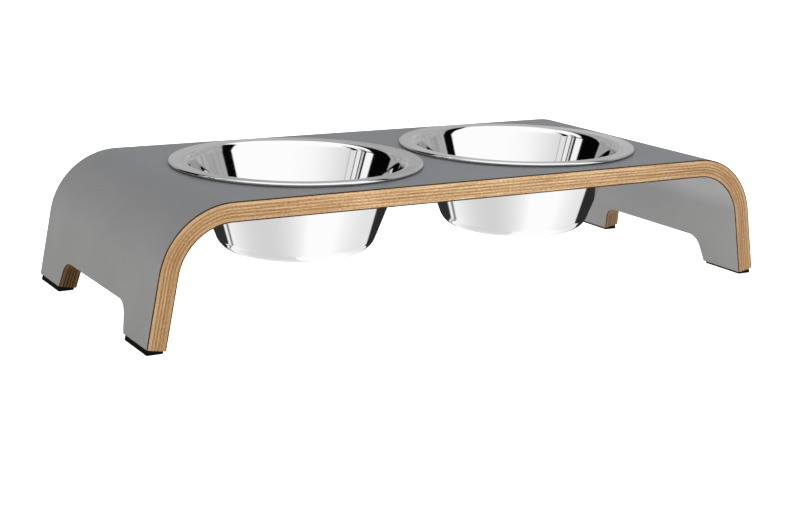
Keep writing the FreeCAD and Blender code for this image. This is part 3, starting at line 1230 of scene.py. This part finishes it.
    def colour(self, tree: bpy.types.NodeTree, way: bpy.types.NodeSocket) -> bpy.types.NodeSocket:
        """Colour of the tent by direction: the upper and the lower light, with the dark gap between them.

        The angle is the arc tangent of the direction's parts to the right and towards the camera, and the
        height the arc sine of its upward part. The gap is dark where the height is small and the angle is
        near enough to a way left of the camera.

        Args:
            tree: The world's node tree.
            way: The direction of a ray.

        Returns:
            The colour.
        """
        turned = add_node(tree, "VectorRotate", {"rotation_type": "Z_AXIS"}, values={"Angle": -self.facing},
                          links={"Vector": way})
        parts = add_node(tree, "SeparateXYZ", links={"Vector": turned.outputs["Vector"]})
        toward = add_node(tree, "Math", {"operation": "MULTIPLY"}, values={1: -1.0},
                          links={0: parts.outputs["Y"]})
        angle = add_node(tree, "Math", {"operation": "ARCTAN2"},
                         links={0: parts.outputs["X"], 1: toward.outputs["Value"]}).outputs["Value"]
        height = add_node(tree, "Math", {"operation": "ARCSINE"},
                          links={0: parts.outputs["Z"]}).outputs["Value"]

        lowered = add_node(tree, "MapRange", values=self.left_drop.values, links={"Value": angle})
        over_line = add_node(tree, "Math", {"operation": "ADD"},
                             links={0: height, 1: lowered.outputs["Result"]})
        above = add_node(tree, "MapRange", values=self.floor_line.values,
                         links={"Value": over_line.outputs["Value"]})
        whole = add_node(tree, "Mix", COLOURS, links={
            MIX_SHARE: above.outputs["Result"], MIX_UNDER: self.lower_light(tree, angle, height),
            MIX_OVER: self.upper_light(tree, way, angle, height)})

        near = []
        for value, shift, fade in ((height, 0.0, self.gap_height), (angle, self.gap_turn, self.gap_reach)):
            moved = add_node(tree, "Math", {"operation": "ADD"}, values={1: math.radians(shift)},
                             links={0: value})
            away = add_node(tree, "Math", {"operation": "ABSOLUTE"}, links={0: moved.outputs["Value"]})
            near.append(add_node(tree, "MapRange", SMOOTH, fade.values, {"Value": away.outputs["Value"]}))
        gap = add_node(tree, "Math", {"operation": "MULTIPLY"},
                       links={number: share.outputs["Result"] for number, share in enumerate(near)})
        return add_node(tree, "Mix", COLOURS, values={MIX_OVER: linear(self.dark)}, links={
            MIX_SHARE: gap.outputs["Value"], MIX_UNDER: whole.outputs[MIX_RESULT]}).outputs[MIX_RESULT]


@dataclass(frozen=True)
class Studio:
    """Light table, soft sky, low lamp and the tent that the steel mirrors; distances are in metres."""

    tent: Tent
    floor_half: float = 20.0
    ground: str = "#ffffff"
    sky: str = "#f3f7ff"
    sky_way: tuple[float, float, float] = (0.62, 0.33, 0.71)
    sky_low: float = 0.0
    sky_high: float = 0.92
    lamp_colour: str = "#fff1df"
    lamp_way: tuple[float, float, float] = (-0.99, -0.1, 0.1)
    lamp_distance: float = 2.4
    lamp_size: tuple[float, float] = (2.4, 0.8)
    lamp_power: float = 19.5

    def build(self) -> None:
        """Makes the floor, the tent, the lamp and the colour management."""
        self.lay_floor()
        self.hang_tent()
        self.hang_lamp()
        bpy.context.scene.view_settings.view_transform = "Standard"

    def lay_floor(self) -> None:
        """Lays the flat light table under the object; the steel mirrors the tent instead of the table."""
        half = self.floor_half
        corners = np.array([[-half, -half, 0.0], [half, -half, 0.0], [half, half, 0.0], [-half, half, 0.0]])
        floor = add_piece("floor", corners, [[0, 1, 2, 3]], [OpalFloor().build()])
        floor.visible_glossy = False

    def hang_lamp(self) -> None:
        """Hangs the low soft lamp on the left, which lights the matt faces and doesn't show in the steel."""
        data = bpy.data.lights.new("low_soft_lamp", "AREA")
        data.shape = "RECTANGLE"
        data.size, data.size_y = self.lamp_size
        data.energy = self.lamp_power
        data.color = linear(self.lamp_colour)[:3]
        lamp = bpy.data.objects.new("low_soft_lamp", data)
        way = Vector(self.lamp_way).normalized()
        lamp.location = way * self.lamp_distance
        lamp.rotation_euler = way.to_track_quat("Z", "Y").to_euler()
        lamp.visible_glossy = False
        lamp.visible_camera = False
        bpy.context.scene.collection.objects.link(lamp)

    def hang_tent(self) -> None:
        """Makes the world's light: white to the camera, soft sky for matt faces, the tent for reflections."""
        world = bpy.data.worlds.new("studio_tent")
        bpy.context.scene.world = world
        world.use_nodes = True
        tree = world.node_tree
        tree.nodes.clear()
        way = add_node(tree, "TexCoord").outputs["Generated"]
        lean = add_node(tree, "VectorMath", {"operation": "DOT_PRODUCT"},
                        values={1: Vector(self.sky_way).normalized()}, links={0: way})
        lit = add_node(tree, "MapRange", links={"Value": lean.outputs["Value"]},
                       values={"From Min": -1.0, "To Min": self.sky_low, "To Max": self.sky_high})
        sky = add_node(tree, "Background", values={"Color": linear(self.sky)},
                       links={"Strength": lit.outputs["Result"]})
        mirrored = add_node(tree, "Background", values={"Strength": self.tent.strength},
                            links={"Color": self.tent.colour(tree, way)})
        seen = add_node(tree, "Background", values={"Color": linear(self.ground)})
        ray = add_node(tree, "LightPath")
        light = sky.outputs["Background"]
        for kind, shown in (("Is Glossy Ray", mirrored), ("Is Camera Ray", seen)):
            light = add_node(tree, "MixShader", links={
                0: ray.outputs[kind], 1: light, 2: shown.outputs["Background"]}).outputs["Shader"]
        add_node(tree, "OutputWorld", links={"Surface": light})


def main() -> None:
    """Builds every piece of the stand, the camera and the studio."""
    logging.basicConfig(level=logging.INFO, format="%(name)s: %(message)s")
    bridge = MouldedBridge()
    pieces = bridge.build()
    steel = PolishedSteel().build()
    pieces += [PressedBowl(node).build(steel) for node in ("left_bowl", "right_bowl")]
    rubber = MouldedRubber().build()
    pads = (f"{row}_{side}_foot_pad" for row in ("front", "rear") for side in ("left", "right"))
    pieces += [FootPad(node, bridge).build(rubber) for node in pads]
    for piece in pieces:
        log.info("%s: %d faces", piece.name, len(piece.data.polygons))
    viewpoint = Viewpoint()
    viewpoint.build()
    Studio(Tent(viewpoint.azimuth)).build()


if __name__ == "__main__":
    main()
